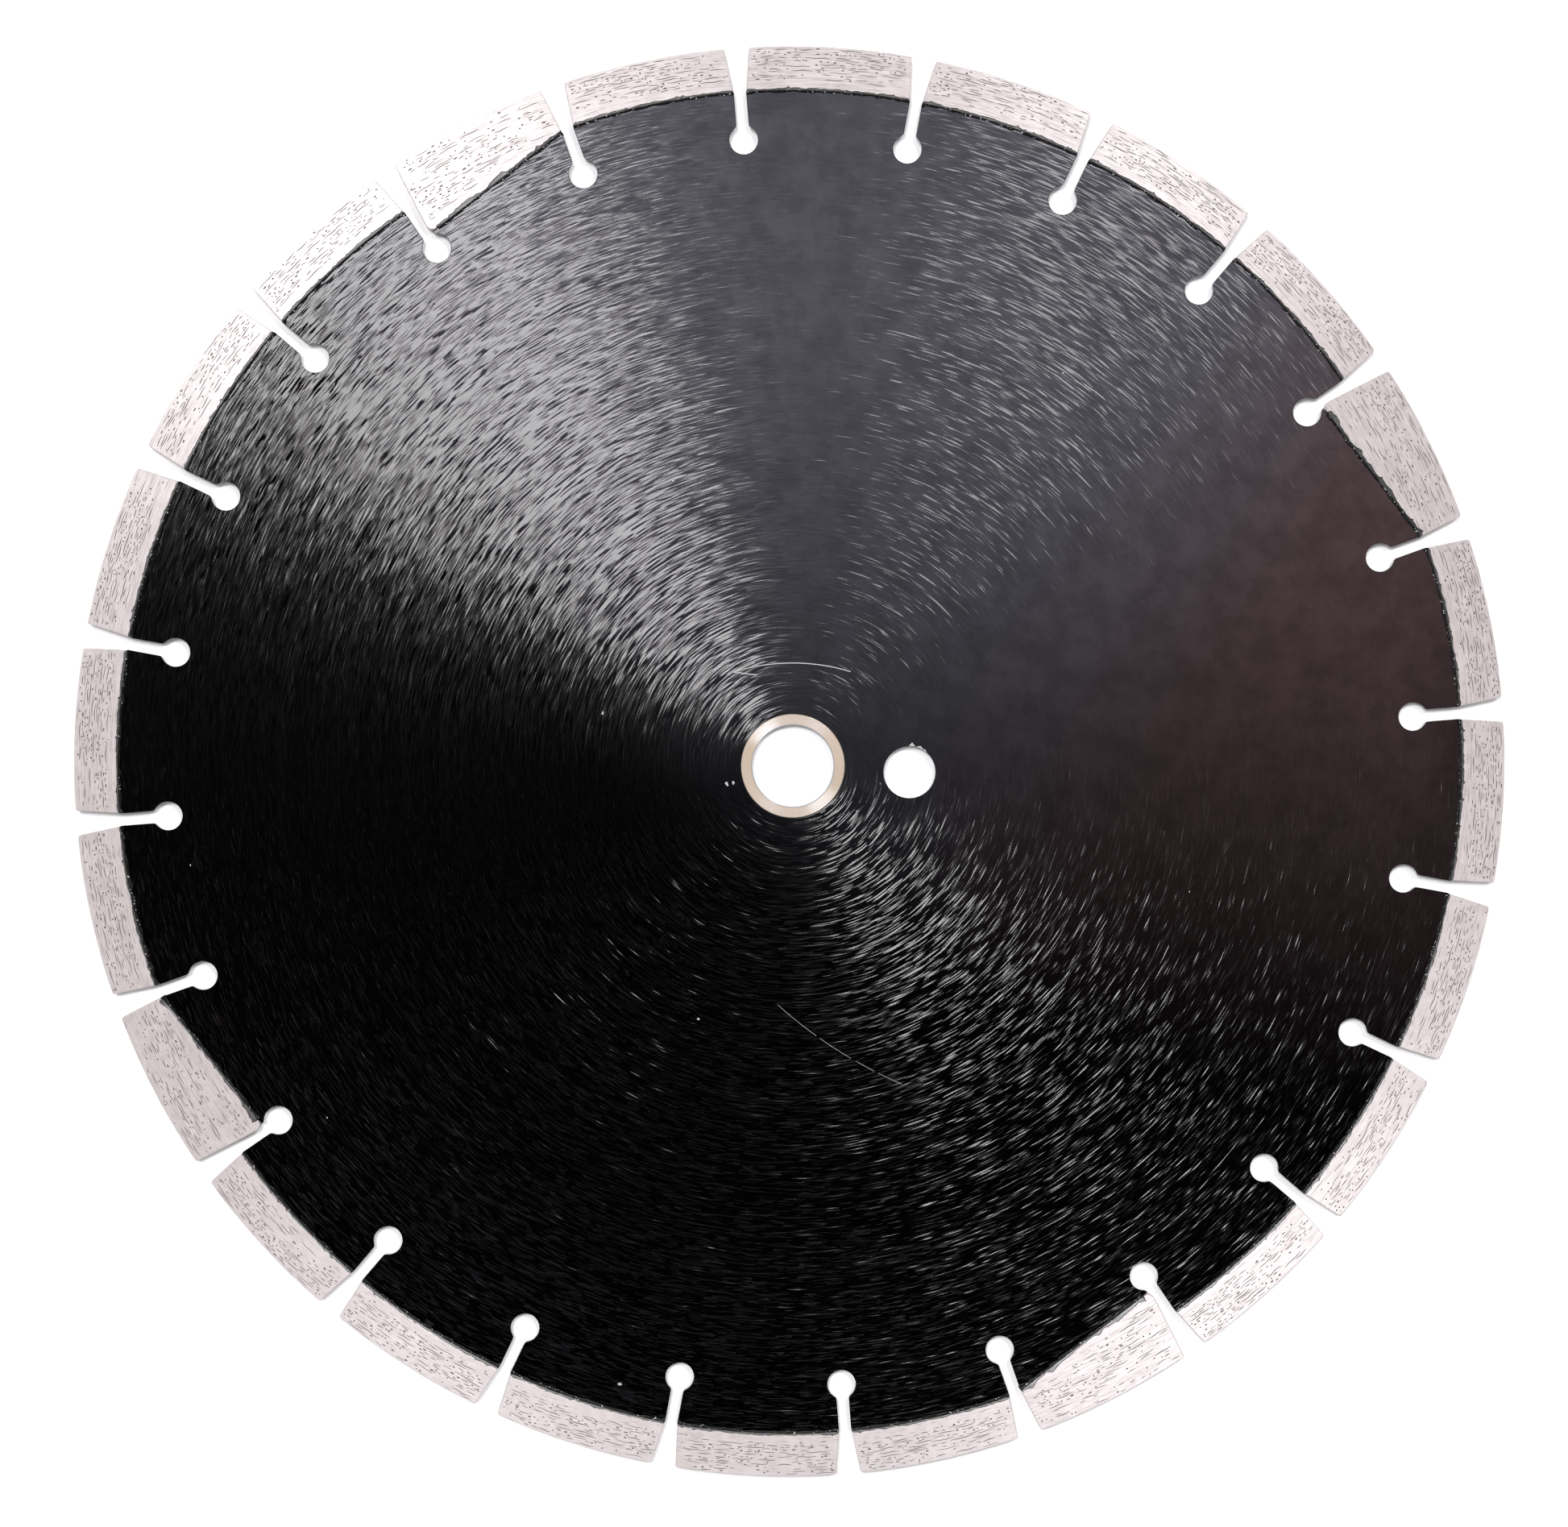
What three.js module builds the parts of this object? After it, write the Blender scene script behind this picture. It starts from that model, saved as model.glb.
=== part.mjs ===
// Segmented diamond blade for cutting concrete and masonry, 350 mm across.
// Millimetres. The blade lies flat: +Z is the spin axis and the front face looks along +Z.
// The origin is the centre of the arbor bore, at half of the thickness.
// Angles run counter-clockwise seen from the front, which is also the way the blade turns.
import * as THREE from "three";

// Driving dimensions
const SEGMENT_COUNT = 24;
const UNDERCUT_COUNT = 4; // evenly spread: every sixth segment reaches down beside its slot
const OUTER_RADIUS = 175;
const SEGMENT_LENGTH = 39.7; // between the segment's two ends, which are parallel
const SEGMENT_HEIGHT = 10.55; // base layer and diamond layer together
const SEGMENT_THICKNESS = 3.2;
const SEGMENT_CORNER_RADIUS = 0.6;
const CORE_THICKNESS = 2.2;
const WELD_GAP = 0.05; // seam between a segment and its seat on the core

const SLOT_WIDTH = 3;
const FIRST_SLOT_ANGLE = 4.5;
const KEYHOLE_RADIUS = 3.5;
const KEYHOLE_CENTRE_RADIUS = 152.8;
const SLOT_MOUTH_FILLET = 1; // where a slot's wall opens into its keyhole

// The slanted seat of an undercut segment, seen along the segment's middle line
const UNDERCUT_SEAT_RADIUS = 159.1; // where the seat crosses the middle line
const UNDERCUT_SLOPE = 0.19; // drop per millimetre towards the leading end
const UNDERCUT_CORNER_RADIUS = 1.8; // at the low corner, over the keyhole

const BUSH_BORE_RADIUS = 10;
const BUSH_OUTER_RADIUS = 12.7;
const BUSH_THICKNESS = 2;
const BUSH_CHAMFER = 0.25;
const BUSH_CLEARANCE = 0.03; // radial, between the bush and the core's bore
const PIN_HOLE_RADIUS = 6.35;
const PIN_HOLE_CENTRE_RADIUS = 28.6;
const PIN_HOLE_ANGLE = -3.1;

// Facets on the round stretches
const SEGMENT_ARC_FACETS = 8;
const CORNER_FACETS = 3;
const KEYHOLE_FACETS = 12;
const BORE_FACETS = 48;
const PIN_HOLE_FACETS = 32;

const { degToRad } = THREE.MathUtils;
const PITCH = degToRad(360 / SEGMENT_COUNT);
const SEAT_RADIUS = OUTER_RADIUS - SEGMENT_HEIGHT;
const CORE_RIM_RADIUS = SEAT_RADIUS - WELD_GAP;
const HALF_LENGTH = SEGMENT_LENGTH / 2;

const steel = new THREE.MeshStandardMaterial({ color: 0x1c1c20, roughness: 0.42, metalness: 0.9 });
const sintered = new THREE.MeshStandardMaterial({ color: 0xd1c9c9, roughness: 0.5, metalness: 0.8 });
const zinc = new THREE.MeshStandardMaterial({ color: 0xd1be9f, roughness: 0.3, metalness: 1 });

// Points on an arc, both ends included. Angles are in radians.
function arc(centreX, centreY, radius, from, to, facets) {
  const points = [];
  for (let i = 0; i <= facets; i += 1) {
    const angle = from + ((to - from) * i) / facets;
    points.push(new THREE.Vector2(centreX + radius * Math.cos(angle), centreY + radius * Math.sin(angle)));
  }
  return points;
}

// A full circle, without the last point, which would repeat the first one.
function circle(centreX, centreY, radius, facets) {
  return arc(centreX, centreY, radius, 0, 2 * Math.PI, facets).slice(0, -1);
}

function turned(points, angle) {
  return points.map((point) => point.clone().rotateAround(new THREE.Vector2(), angle));
}

// A flat plate of an outline, centred on Z = 0.
function plate(outline, holes, thickness) {
  const shape = new THREE.Shape(outline);
  shape.holes = holes.map((hole) => new THREE.Path(hole));
  const geometry = new THREE.ExtrudeGeometry(shape, { depth: thickness, bevelEnabled: false });
  return geometry.translate(0, 0, -thickness / 2);
}

// Height of an undercut segment's base at a place along it. The segment's middle line is +Y, and
// its leading end is towards -X.
function undercutSeat(x) {
  return UNDERCUT_SEAT_RADIUS + UNDERCUT_SLOPE * x;
}

// The arc that rounds a corner of an outline between two straight neighbours.
function roundedCorner(before, corner, after, radius) {
  const back = before.clone().sub(corner).normalize();
  const ahead = after.clone().sub(corner).normalize();
  const half = Math.acos(back.dot(ahead)) / 2;
  const middle = back.clone().add(ahead).normalize();
  const centre = corner.clone().addScaledVector(middle, radius / Math.sin(half));
  const reach = radius / Math.tan(half);
  const start = corner.clone().addScaledVector(back, reach).sub(centre).angle();
  let end = corner.clone().addScaledVector(ahead, reach).sub(centre).angle();
  if (end < start) {
    end += 2 * Math.PI;
  }
  return arc(centre.x, centre.y, radius, start, end, CORNER_FACETS);
}

// The two outer corners and the worn rim between them, from the trailing end to the leading end.
function segmentRim() {
  const cornerY = Math.sqrt(OUTER_RADIUS ** 2 - HALF_LENGTH ** 2);
  const trailing = new THREE.Vector2(HALF_LENGTH, cornerY);
  const leading = new THREE.Vector2(-HALF_LENGTH, cornerY);
  const rimStart = Math.atan2(cornerY, HALF_LENGTH - SEGMENT_CORNER_RADIUS);
  const rim = arc(0, 0, OUTER_RADIUS, rimStart, Math.PI - rimStart, SEGMENT_ARC_FACETS);
  const below = new THREE.Vector2(0, -1);
  return [
    ...roundedCorner(trailing.clone().add(below), trailing, rim[1], SEGMENT_CORNER_RADIUS),
    ...rim.slice(1, -1),
    ...roundedCorner(rim.at(-2), leading, leading.clone().add(below), SEGMENT_CORNER_RADIUS),
  ];
}

// A standard segment sits on the round rim of the core.
function standardSegment() {
  const baseEnd = Math.acos(HALF_LENGTH / SEAT_RADIUS);
  const base = arc(0, 0, SEAT_RADIUS, Math.PI - baseEnd, baseEnd, SEGMENT_ARC_FACETS);
  return plate([...segmentRim(), ...base], [], SEGMENT_THICKNESS);
}

// An undercut segment has a slanted base, so that its leading end also guards the core's slot.
function undercutSegment() {
  const leading = new THREE.Vector2(-HALF_LENGTH, undercutSeat(-HALF_LENGTH));
  const trailing = new THREE.Vector2(HALF_LENGTH, undercutSeat(HALF_LENGTH));
  const above = new THREE.Vector2(0, 1);
  const lowCorner = roundedCorner(leading.clone().add(above), leading, trailing, UNDERCUT_CORNER_RADIUS);
  return plate([...segmentRim(), ...lowCorner, trailing], [], SEGMENT_THICKNESS);
}

// Half of a slot, in the slot's own frame with its middle line along +Y: the wall on +X from the
// rim down, the fillet at its foot and the keyhole round to its bottom.
function slotHalf() {
  const wallX = SLOT_WIDTH / 2;
  const filletX = wallX + SLOT_MOUTH_FILLET;
  const filletRise = Math.sqrt((KEYHOLE_RADIUS + SLOT_MOUTH_FILLET) ** 2 - filletX ** 2);
  const filletY = KEYHOLE_CENTRE_RADIUS + filletRise;
  const meetAngle = Math.atan2(filletRise, filletX);
  return [
    new THREE.Vector2(wallX, Math.sqrt(CORE_RIM_RADIUS ** 2 - wallX ** 2)),
    ...arc(filletX, filletY, SLOT_MOUTH_FILLET, Math.PI, Math.PI + meetAngle, CORNER_FACETS),
    ...arc(0, KEYHOLE_CENTRE_RADIUS, KEYHOLE_RADIUS, meetAngle, -Math.PI / 2, KEYHOLE_FACETS).slice(1),
  ];
}

// A slot wall, from the top down, with what stands above an undercut segment's seat cut off.
function cutAtSeat(wall) {
  const heights = wall.map((point) => point.y + WELD_GAP - undercutSeat(point.x));
  const below = heights.findIndex((height) => height < 0);
  const share = heights[below - 1] / (heights[below - 1] - heights[below]);
  return [wall[below - 1].clone().lerp(wall[below], share), ...wall.slice(below)];
}

// The stretch of the core that carries one segment, whose middle line is +Y: from the bottom of
// the keyhole on its trailing side, over the seat, to the bottom of the keyhole on the other side.
function coreTooth(isUndercut) {
  const leadingWall = turned(slotHalf(), PITCH / 2);
  const trailingWall = leadingWall.map((point) => new THREE.Vector2(-point.x, point.y));
  if (isUndercut) {
    return [...cutAtSeat(trailingWall).reverse(), ...cutAtSeat(leadingWall)];
  }
  const rimStart = trailingWall[0].angle();
  const rim = arc(0, 0, CORE_RIM_RADIUS, rimStart, Math.PI - rimStart, SEGMENT_ARC_FACETS);
  return [...trailingWall.reverse(), ...rim.slice(1, -1), ...leadingWall];
}

function isUndercutSegment(index) {
  return index % (SEGMENT_COUNT / UNDERCUT_COUNT) === 1;
}

// Angle of a segment's middle line, measured from +X.
function segmentAngle(index) {
  return degToRad(FIRST_SLOT_ANGLE) + PITCH * (index + 0.5);
}

// The core's outline, one tooth after another. Each tooth leaves out the keyhole bottom that the
// tooth before it ends on.
function coreOutline() {
  const outline = [];
  for (let index = 0; index < SEGMENT_COUNT; index += 1) {
    const tooth = coreTooth(isUndercutSegment(index));
    outline.push(...turned(tooth.slice(1), segmentAngle(index) - Math.PI / 2));
  }
  return outline;
}

function steelCore() {
  const pinAngle = degToRad(PIN_HOLE_ANGLE);
  const pinX = PIN_HOLE_CENTRE_RADIUS * Math.cos(pinAngle);
  const pinY = PIN_HOLE_CENTRE_RADIUS * Math.sin(pinAngle);
  const bore = circle(0, 0, BUSH_OUTER_RADIUS + BUSH_CLEARANCE, BORE_FACETS);
  const pinHole = circle(pinX, pinY, PIN_HOLE_RADIUS, PIN_HOLE_FACETS);
  return plate(coreOutline(), [bore, pinHole], CORE_THICKNESS);
}

// A chamfered ring, turned about the spin axis.
function reducingBush() {
  const half = BUSH_THICKNESS / 2;
  const profile = [
    [BUSH_BORE_RADIUS, -half + BUSH_CHAMFER],
    [BUSH_BORE_RADIUS + BUSH_CHAMFER, -half],
    [BUSH_OUTER_RADIUS - BUSH_CHAMFER, -half],
    [BUSH_OUTER_RADIUS, -half + BUSH_CHAMFER],
    [BUSH_OUTER_RADIUS, half - BUSH_CHAMFER],
    [BUSH_OUTER_RADIUS - BUSH_CHAMFER, half],
    [BUSH_BORE_RADIUS + BUSH_CHAMFER, half],
    [BUSH_BORE_RADIUS, half - BUSH_CHAMFER],
    [BUSH_BORE_RADIUS, -half + BUSH_CHAMFER],
  ].map(([radius, height]) => new THREE.Vector2(radius, height));
  return new THREE.LatheGeometry(profile, BORE_FACETS).rotateX(Math.PI / 2);
}

function named(name, geometry, material) {
  const mesh = new THREE.Mesh(geometry, material);
  mesh.name = name;
  return mesh;
}

const twoDigits = (number) => String(number).padStart(2, "0");

// The ring of segments, each turned to its place on the core.
function segmentRing() {
  const ring = new THREE.Group();
  const standard = standardSegment();
  const undercut = undercutSegment();
  for (let index = 0; index < SEGMENT_COUNT; index += 1) {
    const isUndercut = isUndercutSegment(index);
    const name = (isUndercut ? "undercut_segment_" : "segment_") + twoDigits(index + 1);
    const segment = named(name, isUndercut ? undercut : standard, sintered);
    segment.rotation.z = segmentAngle(index) - Math.PI / 2;
    ring.add(segment);
  }
  return ring;
}

const blade = new THREE.Group();
blade.add(named("steel_core", steelCore(), steel));
blade.add(segmentRing());
blade.add(named("reducing_bush", reducingBush(), zinc));

export default blade;
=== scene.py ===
import math

import bpy
import numpy as np
from mathutils import Matrix, Vector
from mathutils.geometry import delaunay_2d_cdt


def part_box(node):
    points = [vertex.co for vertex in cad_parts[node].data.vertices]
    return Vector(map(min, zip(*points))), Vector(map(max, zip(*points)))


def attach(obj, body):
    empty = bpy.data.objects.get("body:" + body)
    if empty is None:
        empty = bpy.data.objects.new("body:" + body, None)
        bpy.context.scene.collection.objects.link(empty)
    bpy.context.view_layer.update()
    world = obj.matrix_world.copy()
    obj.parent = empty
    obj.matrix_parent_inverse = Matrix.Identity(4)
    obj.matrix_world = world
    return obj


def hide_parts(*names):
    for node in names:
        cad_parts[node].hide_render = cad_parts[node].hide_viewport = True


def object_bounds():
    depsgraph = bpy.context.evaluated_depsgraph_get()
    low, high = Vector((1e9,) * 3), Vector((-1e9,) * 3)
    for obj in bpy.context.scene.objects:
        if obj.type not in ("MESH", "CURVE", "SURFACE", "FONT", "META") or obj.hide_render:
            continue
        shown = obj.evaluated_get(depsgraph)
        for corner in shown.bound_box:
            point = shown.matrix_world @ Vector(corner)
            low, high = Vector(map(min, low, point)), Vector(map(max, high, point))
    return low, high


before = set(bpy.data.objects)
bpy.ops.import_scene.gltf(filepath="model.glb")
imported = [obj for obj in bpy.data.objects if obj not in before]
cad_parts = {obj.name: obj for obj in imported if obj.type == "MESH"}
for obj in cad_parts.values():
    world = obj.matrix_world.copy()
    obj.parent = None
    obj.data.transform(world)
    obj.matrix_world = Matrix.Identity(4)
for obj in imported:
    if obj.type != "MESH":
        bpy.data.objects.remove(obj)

CAD_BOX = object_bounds()
MM = 0.001
CORE = "steel_core"
BUSH = "reducing_bush"
# The segments in their order round the blade, which is the number that ends their names
SEGMENTS = sorted((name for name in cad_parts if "segment" in name), key=lambda name: name[-2:])

# Reading and refining outlines
GRID = 1e-7                # metres: corners closer than this are one
LEVEL = 1e-6               # metres: corners this close to the top belong to the top face
FLAT_FACE = 0.9            # a face whose normal rises this much is a top face
SOFT_TURN = 35             # degrees: gentler turns belong to a round stretch
SOFT_ROUNDS = 2
CORNER_CUT = 0.25          # share of an edge that each round cuts off
SHARP_TURN = 12            # degrees: steeper edges are shaded sharp
TOLERANCE = 1e-5           # of the triangulation
WELD_REACH = 0.15          # a segment's outline this close to the core is welded to it

# Seeds of the random draws. A segment's number is added to its seed.
CORE_SEED = 11
SEGMENT_SEED = 100
SEAM_SEED = 5

# Core
CORE_STEP = 1.2
EDGE_BREAK = 0.12          # chamfer of the cut edges
HOLE_FACETS = 160
MARK_DEPTH = 0.035
ARROW_CENTRE = (-0.1, -23.4)
ARROW_RADIUS = 48.6
ARROW_SPAN = (73.0, 107.4)  # degrees
ARROW_LINE = 0.22
ARROW_POINTS = 60
ARROW_BARBS = ((-9.3, 25.4), (-8.9, 22.3))
BARB_POINTS = 8
SCRATCH = ((-3.7, -58.6), (9.5, -70.6), (26.7, -78.2))
SCRATCH_LINE = 0.08
SCRATCH_PARTS = ((0.0, 0.34), (0.37, 0.62), (0.66, 0.8), (0.83, 1.0))
SCRATCH_POINTS = 14
# Chips in the paint: x, y and radius in millimetres
CHIPS = (
    (-46.5, 13.0, 0.34),
    (-23.2, -62.0, 0.3),
    (-42.6, -152.0, 0.42),
    (-16.2, -4.3, 0.46),
    (-14.6, -4.0, 0.38),
    (15.6, -11.0, 0.16),
    (21.4, -4.4, 0.14),
    (-29.2, 69.6, 0.2),
    (-114.0, -86.0, 0.2),
    (-147.0, -24.0, 0.18),
    (66.0, 96.0, 0.17),
    (97.5, -31.0, 0.16),
)
CHIP_SHAPE = (1.3, 0.8)    # half length and half width, in radii
CHIP_CORNERS = 9
CHIP_WOBBLE = 0.35
# Flakes of bare metal on the upper edge of the pin hole: angle, half length along the edge and reach
PIN_FLAKES = ((84.0, 0.95, 0.95), (66.0, 1.2, 0.75), (55.0, 0.7, 0.5))
# Outline of a flake, in half lengths along the edge and in reaches away from it
FLAKE_SPANS = (-1.0, -0.2, 0.6, 1.0, 0.35, -0.1, -0.55)
FLAKE_HEIGHTS = (0.1, 0.08, 0.08, 0.12, 0.6, 1.0, 0.5)
FLAKE_WOBBLE = 0.15
FLAKE_RISE = 0.07
FLAKE_TOP = 0.8            # size of a flake's top, as a share of its foot

# Segments
OUTLINE_STEP = 0.42
SEGMENT_EDGE = 0.18        # rounding of the ground edges
EDGE_SHOULDER = 0.35       # where the rounding bends, as a share of it
BASE_LAYER = 2.2           # height of the diamond-free layer at a segment's base
BASE_WAVER = 0.35
# The painted strip over a segment's base: spacing and lowest and highest width of the waves in it
STRIP_WAVES = ((7, 0.3, 0.62), (2.2, -0.12, 0.16))
RAGGED_WAVE = (5, -1.0, 0.9)
STRIP_GRAIN = 0.05
STRIP_LIMITS = (0.2, 1.5)
SPIKE_SHARE = 0.05
SPIKE_WIDTHS = (0.15, 0.4)
FOOT_HEIGHT = 0.05         # of the strip's lower edge over the core
FOOT_SLOPE = 0.14          # height and width of the slope above it
FOOT_INSET = 0.05          # the least inset of that slope
# Spots in a segment's face: kind, greatest number on the front, tries for each one of them, and the
# ranges of the half length, the half width and the rise
CRYSTAL_RISE = 0.03
SPOTS = (
    ("groove", 75, 7, (0.6, 3.6), (0.08, 0.13), (-0.08, -0.05)),
    ("pit", 90, 7, (0.16, 0.6), (0.12, 0.22), (-0.2, -0.1)),
    ("crystal", 20, 4, (0.09, 0.17), (0.09, 0.15), (CRYSTAL_RISE, CRYSTAL_RISE)),
)
BACK_SHARE = 0.6           # of the greatest number, on the back
SHORT_SPOTS = 1.8          # the higher, the more of the spots are short
SPOT_CORNERS = 8
SPOT_WOBBLE = 0.22
SPOT_FLOOR = 0.68          # size of a pit's bottom, as a share of its outline
SPOT_RIM = 0.5             # strength of a spot's look at its outline
SPOT_MARGIN = 0.32         # from a segment's edges
SPOT_GAP = (0.14, 0.05)    # between two spots, along and across
GROOVE_CORNERS = 18
GROOVE_WOBBLE = 0.12
GROOVE_FLOOR = (0.9, 0.66)  # length and width of a groove's bottom, as shares of its outline
GROOVE_LOOK = 0.8          # strength of the pits' dark colour, dirt and painted shade, at a groove's bottom
GROOVE_SWAY = 0.08
GROOVE_WAVES = 1.6         # radians per millimetre along a groove
CLUSTERS_PER_FACE = 8
CLUSTER_REACH = (5.5, 1.6)  # along and across
CLUSTER_MARGIN = 1
LONE_SPOTS = 0.16          # chance that a spot far from all clusters stays

# Weld seams
BEAD_WIDTH = 0.62
BEAD_HEIGHT = 0.13
BEAD_PROFILE = ((-0.2, 0.0), (-0.12, 0.75), (0.2, 1.0), (0.6, 0.7), (0.9, 0.25), (1.0, 0.0))
BEAD_SUNK = 0.03
# Spacing and lowest and highest share of the waves in a bead's width and height
WIDTH_WAVE = (3, 0.6, 1.35)
HEIGHT_WAVE = (4, 0.5, 1.5)
BEAD_GRAIN = (0.9, 1.1)
BEAD_END = 1.6             # reach of the lump at each end, in points
END_WIDENING = 0.5
END_RISE = 0.8

# Bush
BUSH_FACETS = 192
BUSH_CHAMFER = 0.22
BORE_SHADE_FROM = 0.06           # outside the bore, where the shade painted along its edge begins to fade
BORE_SHADE_PAST = 0.1            # past the chamfer, where that painted shade is gone
INNER_BEVEL = (0.4, 0.3)   # where the chamfers bend, as shares across and down
OUTER_BEVEL = (0.3, 0.4)
TURNED_RINGS = 14
TURNED_DEPTH = 0.006


# ---------------------------------------------------------------- outlines of the CAD nodes

def top_loops(node):
    """The outlines of a CAD node's top face, the longest one first."""
    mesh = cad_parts[node].data
    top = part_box(node)[1].z
    places = {}
    open_edges = set()
    for polygon in mesh.polygons:
        corners = [mesh.vertices[index].co for index in polygon.vertices]
        if polygon.normal.z < FLAT_FACE or min(corner.z for corner in corners) < top - LEVEL:
            continue
        keys = [(round(corner.x / GRID), round(corner.y / GRID)) for corner in corners]
        places.update(zip(keys, ((corner.x / MM, corner.y / MM) for corner in corners)))
        for edge in zip(keys, keys[1:] + keys[:1]):
            if edge[::-1] in open_edges:
                open_edges.remove(edge[::-1])
            else:
                open_edges.add(edge)
    # Sorted, so that each run starts its loops at the same points
    following = dict(sorted(open_edges))
    loops = []
    while following:
        start, key = following.popitem()
        loop = [places[start]]
        while key != start:
            loop.append(places[key])
            key = following.pop(key)
        loops.append(np.array(loop))
    return sorted(loops, key=length_of, reverse=True)


def length_of(loop):
    return np.linalg.norm(np.roll(loop, -1, axis=0) - loop, axis=1).sum()


def directions(loop):
    """Unit vector of each edge, from its point to the next one."""
    edges = np.roll(loop, -1, axis=0) - loop
    return edges / np.linalg.norm(edges, axis=1, keepdims=True)


def softened(loop):
    """The loop with its round stretches made rounder by cutting corners. Sharp corners stay."""
    for _ in range(SOFT_ROUNDS):
        ahead = directions(loop)
        behind = np.roll(ahead, 1, axis=0)
        gentle = (ahead * behind).sum(1) > math.cos(math.radians(SOFT_TURN))
        points = []
        for index, point in enumerate(loop):
            if gentle[index]:
                for neighbour in (loop[index - 1], loop[(index + 1) % len(loop)]):
                    points.append(point * (1 - CORNER_CUT) + neighbour * CORNER_CUT)
            else:
                points.append(point)
        loop = np.array(points)
    return loop


def divided(loop, step):
    """The loop with its long edges cut into equal parts no longer than a step."""
    pieces = []
    for start, end in zip(loop, np.roll(loop, -1, axis=0)):
        count = max(1, math.ceil(np.linalg.norm(end - start) / step))
        shares = np.arange(count)[:, None] / count
        pieces.append(start + (end - start) * shares)
    return np.concatenate(pieces)


def inward(loop):
    """For each point, the step into the metal that moves both of its edges in by 1."""
    ahead = directions(loop)
    left = np.column_stack((-ahead[:, 1], ahead[:, 0]))
    both = left + np.roll(left, 1, axis=0)
    return both / (both ** 2).sum(1, keepdims=True) * 2


def gap_to(points, line, closed=True):
    """Distance of each point from the nearest place on a line."""
    ends = np.roll(line, -1, axis=0)
    starts = line if closed else line[:-1]
    spans = (ends if closed else ends[:-1]) - starts
    offsets = points[:, None] - starts
    shares = np.clip((offsets * spans).sum(2) / (spans ** 2).sum(1), 0, 1)
    return np.linalg.norm(offsets - shares[..., None] * spans, axis=2).min(1)


def inside(points, loop):
    """Whether each point lies inside a loop, by counting the edges to its right."""
    x, y = points[:, 0:1], points[:, 1:2]
    ends = np.roll(loop, -1, axis=0)
    rises = (loop[:, 1] > y) != (ends[:, 1] > y)
    height = np.where(ends[:, 1] == loop[:, 1], 1, ends[:, 1] - loop[:, 1])
    crossing = loop[:, 0] + (y - loop[:, 1]) / height * (ends[:, 0] - loop[:, 0])
    return (rises & (x < crossing)).sum(1) % 2 == 1


def circle(centre, radius, count):
    turns = np.arange(count) / count * 2 * math.pi
    return np.array(centre) + radius * np.column_stack((np.cos(turns), np.sin(turns)))


def round_hole(loop):
    """Centre and radius of a faceted hole."""
    centre = loop.mean(0)
    return centre, np.linalg.norm(loop - centre, axis=1).max()


def longest_run(chosen):
    """Indices of the longest unbroken run of true in a closed row of true and false values."""
    start = int(np.argmin(chosen))
    order = (np.arange(len(chosen)) + start) % len(chosen)
    runs = [[]]
    for index in order:
        if chosen[index]:
            runs[-1].append(index)
        elif runs[-1]:
            runs.append([])
    return np.array(max(runs, key=len))


def wander(rng, count, spacing, low, high):
    """Smooth random values along a row, with a new one at each spacing."""
    knots = rng.uniform(low, high, int(count / spacing) + 3)
    return np.interp(np.arange(count) / spacing, np.arange(len(knots)), knots)


# ---------------------------------------------------------------- meshes

class Solid:
    """A mesh in the making: points in millimetres, faces, and named values kept per point. The faces
    listed in second take the second material."""

    def __init__(self, *names):
        self.blocks = []
        self.faces = []
        self.second = []
        self.values = {name: [] for name in names}
        self.count = 0

    def add(self, flat, height, **values):
        """Adds points and returns their indices. A height or value is one number or one per point."""
        count = len(flat)
        self.blocks.append(np.column_stack((flat, np.broadcast_to(height, count))))
        for name, column in self.values.items():
            column.append(np.broadcast_to(values.get(name, 0.0), count))
        self.count += count
        return np.arange(self.count - count, self.count)

    def band(self, lower, upper):
        """Quads between two closed rings, facing away from the metal."""
        corners = (lower, np.roll(lower, -1), np.roll(upper, -1), upper)
        self.faces.extend(zip(*corners))

    def cover(self, faces, side, second=False):
        """Adds faces that are counter-clockwise from the front, turned over for the back."""
        if second:
            self.second.extend(range(len(self.faces), len(self.faces) + len(faces)))
        self.faces.extend(tuple(face[::side]) for face in faces)

    def object(self, name, *materials):
        points = np.concatenate(self.blocks)
        mesh = bpy.data.meshes.new(name)
        faces = [[int(index) for index in face] for face in self.faces]
        mesh.from_pydata((points * MM).tolist(), [], faces)
        for value, column in self.values.items():
            attribute = mesh.attributes.new(value, "FLOAT", "POINT")
            attribute.data.foreach_set("value", np.concatenate(column).astype(np.float32))
        for material in materials:
            mesh.materials.append(material)
        for index in self.second:
            mesh.polygons[index].material_index = 1
        mesh.polygons.foreach_set("use_smooth", [True] * len(mesh.polygons))
        mesh.set_sharp_from_angle(angle=math.radians(SHARP_TURN))
        made = bpy.data.objects.new(name, mesh)
        bpy.context.scene.collection.objects.link(made)
        return made


def triangulated(rims, loops):
    """Triangles over the first rim and outside the others. Returns their places, the index of each
    place among the inputs, the triangles, and whether each triangle lies inside a loop."""
    rings = [*rims, *loops]
    starts = np.cumsum([0] + [len(ring) for ring in rings])
    edges = []
    for ring, start in zip(rings, starts):
        around = list(range(start, start + len(ring)))
        edges.extend(zip(around, around[1:] + around[:1]))
    corners = [Vector(point) for point in np.concatenate(rings).tolist()]
    places, _, triangles, sources, _, _ = delaunay_2d_cdt(corners, edges, [], 0, TOLERANCE, True)
    places = np.array([tuple(place) for place in places])
    triangles = np.array(triangles)
    middles = places[triangles].mean(1)
    kept = inside(middles, rims[0])
    for hole in rims[1:]:
        kept &= ~inside(middles, hole)
    triangles = triangles[kept]
    middles = middles[kept]
    within = np.zeros(len(triangles), bool)
    for loop in loops:
        within |= inside(middles, loop)
    origin = [source[0] if source else None for source in sources]
    return places, origin, triangles.tolist(), within


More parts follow.
